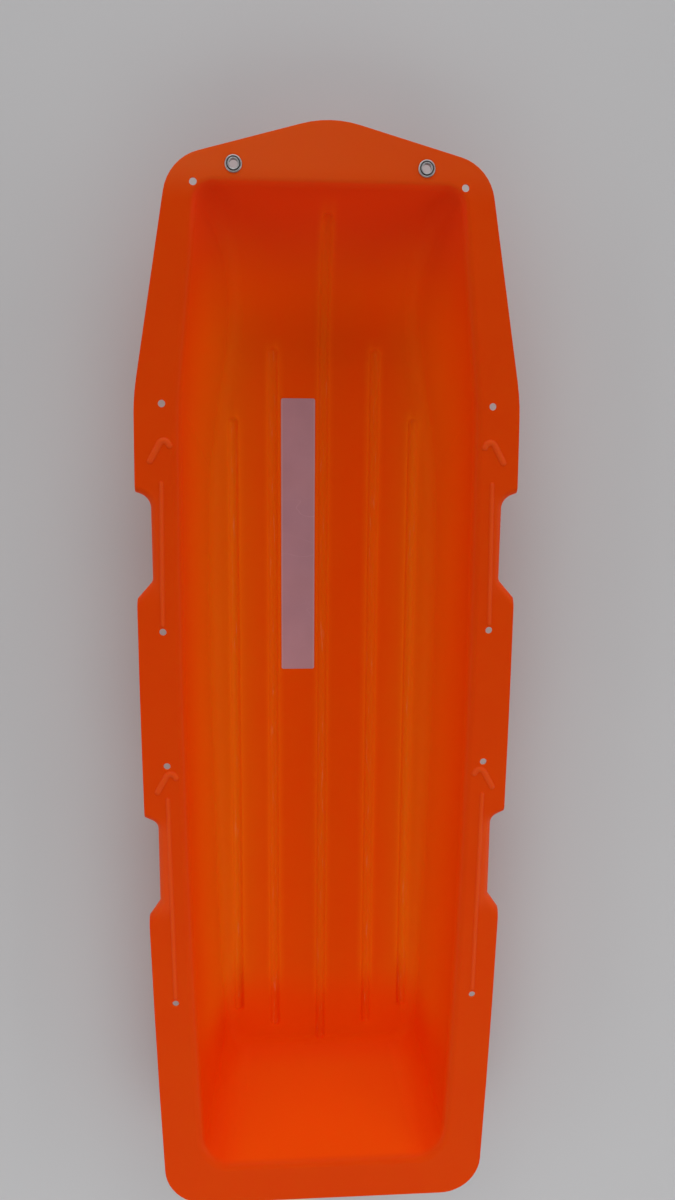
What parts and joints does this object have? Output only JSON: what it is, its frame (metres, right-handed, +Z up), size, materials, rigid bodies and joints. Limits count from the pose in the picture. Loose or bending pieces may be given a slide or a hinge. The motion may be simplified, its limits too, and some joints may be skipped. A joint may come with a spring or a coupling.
{
  "type": "expedition sled",
  "caption": "Open expedition sled formed from one orange plastic sheet, with a wide rim flange, floor runners, handholds in its sides and metal tow grommets in its nose.",
  "frame": {"origin": "on the ground under the runners, in the middle of the length and width", "axes": "+Y towards the nose, +Z up, +X to the right seen from the tail"},
  "size_m": [0.508, 1.524, 0.1544],
  "materials": {
    "orange_sheet": "semi-gloss formed polyethylene sheet, orange",
    "label_film": "blank satin film, weathered pale",
    "grommet_metal": "pressed and plated metal"
  },
  "bodies": {
    "root": {"shell": "orange_sheet", "label": "label_film", "grommet_left": "grommet_metal", "grommet_right": "grommet_metal", "grommet_washer_left": "grommet_metal", "grommet_washer_right": "grommet_metal"}
  },
  "joints": []
}
